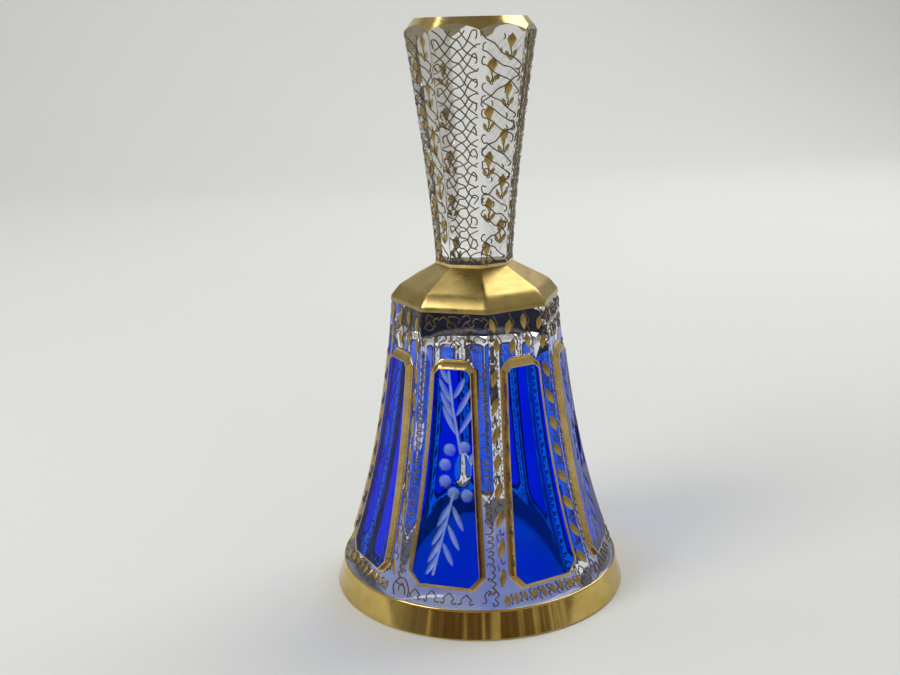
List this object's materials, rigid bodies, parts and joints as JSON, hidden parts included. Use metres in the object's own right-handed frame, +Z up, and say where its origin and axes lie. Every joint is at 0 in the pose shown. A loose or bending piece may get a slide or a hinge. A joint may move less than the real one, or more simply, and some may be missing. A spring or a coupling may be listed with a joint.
{
  "type": "glass hand bell",
  "caption": "Octagonal cut-glass hand bell with raised cobalt-blue panels, gilded borders, shoulder and foot, a flared solid glass handle and a clapper on a short chain.",
  "frame": {"origin": "centre of the rim's resting plane", "axes": "+Z up the bell's axis towards the top of the handle; one arris faces -Y"},
  "size_m": [0.068, 0.068, 0.1296],
  "materials": {
    "clear_glass": "clear polished cut glass",
    "handle_glass": "clear polished cut glass, solid",
    "blue_glass": "polished cobalt blue overlay glass",
    "engraved_glass": "polished cobalt blue overlay with matte wheel-cut flowers",
    "polished_gilding": "polished fired gold film",
    "worn_gilding": "satin fired gold film, lightly worn",
    "cement": "matte off-white plaster cement",
    "dark_wire": "dark tarnished wire",
    "clapper_metal": "dark cast metal, slightly rough"
  },
  "bodies": {
    "bell": {"bell_glass": "clear_glass", "handle_glass": "handle_glass", "shoulder_overlay": "blue_glass", "shoulder_gilding": "worn_gilding", "neck_gilding": "worn_gilding", "handle_cap_gilding": "worn_gilding", "foot_gilding": "polished_gilding", "plain_panel_1": "blue_glass", "plain_panel_2": "blue_glass", "plain_panel_3": "blue_glass", "plain_panel_4": "blue_glass", "engraved_panel_1": "engraved_glass", "engraved_panel_2": "engraved_glass", "engraved_panel_3": "engraved_glass", "engraved_panel_4": "engraved_glass", "panel_gilding_1": "worn_gilding", "panel_gilding_2": "worn_gilding", "panel_gilding_3": "worn_gilding", "panel_gilding_4": "worn_gilding", "panel_gilding_5": "worn_gilding", "panel_gilding_6": "worn_gilding", "panel_gilding_7": "worn_gilding", "panel_gilding_8": "worn_gilding", "hanger_plug": "cement", "hanger_eye": "dark_wire"},
    "link_1": {"chain_link_1": "dark_wire"},
    "link_2": {"chain_link_2": "dark_wire"},
    "link_3": {"chain_link_3": "dark_wire"},
    "clapper": {"clapper_eye": "dark_wire", "clapper_bead": "clapper_metal"}
  },
  "joints": [
    {"name": "hanger_swing", "type": "hinge", "parent": "bell", "child": "link_1", "pos_m": [0, 0, 0.0646], "axis": [1, 0, 0], "range_deg": [-20, 20]},
    {"name": "link_swing_1", "type": "hinge", "parent": "link_1", "child": "link_2", "pos_m": [0, 0, 0.0606], "axis": [0, 1, 0], "range_deg": [-20, 20]},
    {"name": "link_swing_2", "type": "hinge", "parent": "link_2", "child": "link_3", "pos_m": [0, 0, 0.0566], "axis": [1, 0, 0], "range_deg": [-18, 18]},
    {"name": "clapper_swing", "type": "hinge", "parent": "link_3", "child": "clapper", "pos_m": [0, 0, 0.0526], "axis": [0, 1, 0], "range_deg": [-18, 18]}
  ]
}
